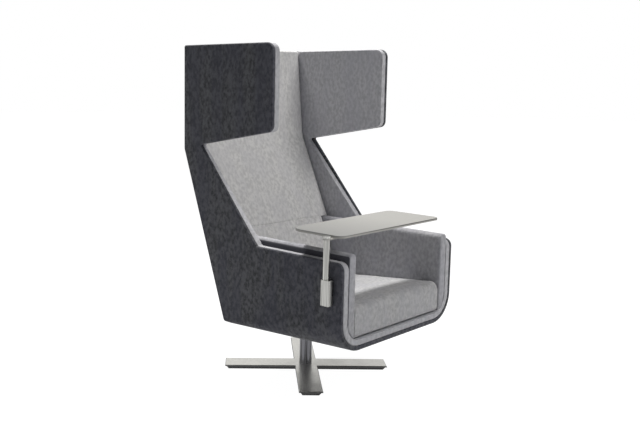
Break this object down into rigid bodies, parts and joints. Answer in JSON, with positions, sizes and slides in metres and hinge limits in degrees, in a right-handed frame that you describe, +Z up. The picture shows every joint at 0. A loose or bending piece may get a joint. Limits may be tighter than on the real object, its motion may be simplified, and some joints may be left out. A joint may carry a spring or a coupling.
{
  "type": "high back lounge chair",
  "caption": "High back lounge chair with side wings, felt shell, padded seat, arms and back, a swing-over writing tray and a swivel column on a cross base.",
  "frame": {"origin": "on the floor under the swivel axis, at the middle of the floor pad's underside", "axes": "+Z up along the swivel axis; the sitter faces -Y; +X is at the sitter's left, and the tray post is on -X"},
  "size_m": [0.749, 0.841, 1.337],
  "materials": {
    "dark_felt": "matt wool felt, dark grey with a fine mottle",
    "lining_felt": "matt wool felt, mid grey",
    "cushion_fabric": "fine woven upholstery, light grey",
    "plywood": "plain board, hidden by the felt",
    "base_metal": "satin",
    "column_chrome": "dark, polished",
    "black_plastic": "matt black",
    "bush_plastic": "plain",
    "steel": "zinc plated",
    "satin_aluminium": "satin"
  },
  "bodies": {
    "base": {"base_cross": "base_metal", "floor_pad": "black_plastic", "front_left_strip": "black_plastic", "front_right_strip": "black_plastic", "rear_left_strip": "black_plastic", "rear_right_strip": "black_plastic", "column": "column_chrome", "lower_bush": "bush_plastic", "upper_bush": "bush_plastic", "thrust_washer": "steel"},
    "seat": {"underside_cover": "dark_felt", "left_side_cover": "dark_felt", "right_side_cover": "dark_felt", "back_cover": "dark_felt", "bottom_lining": "lining_felt", "left_lining": "lining_felt", "right_lining": "lining_felt", "left_arm_cushion": "cushion_fabric", "right_arm_cushion": "cushion_fabric", "seat_cushion": "cushion_fabric", "lumbar_cushion": "cushion_fabric", "back_cushion": "cushion_fabric", "seat_board": "plywood", "left_side_board": "plywood", "right_side_board": "plywood", "back_board": "plywood", "post_pad": "black_plastic", "spindle": "steel", "retaining_washer": "steel", "retaining_screw": "steel", "swivel_plate": "steel", "front_left_bolt": "steel", "front_right_bolt": "steel", "rear_left_bolt": "steel", "rear_right_bolt": "steel", "lower_holder_screw": "steel", "upper_holder_screw": "steel", "post_holder": "satin_aluminium"},
    "tray": {"post": "satin_aluminium", "tray_bracket": "satin_aluminium", "post_cap": "satin_aluminium", "tray_plate": "satin_aluminium", "near_tray_screw": "steel", "far_tray_screw": "steel"}
  },
  "joints": [
    {"name": "seat_swivel", "type": "hinge", "parent": "base", "child": "seat", "pos_m": [0, 0, 0.2], "axis": [0, 0, 1], "continuous": true},
    {"name": "tray_swing", "type": "hinge", "parent": "seat", "child": "tray", "pos_m": [-0.3795, -0.414, 0.5], "axis": [0, 0, 1], "range_deg": [-180, 20]}
  ]
}
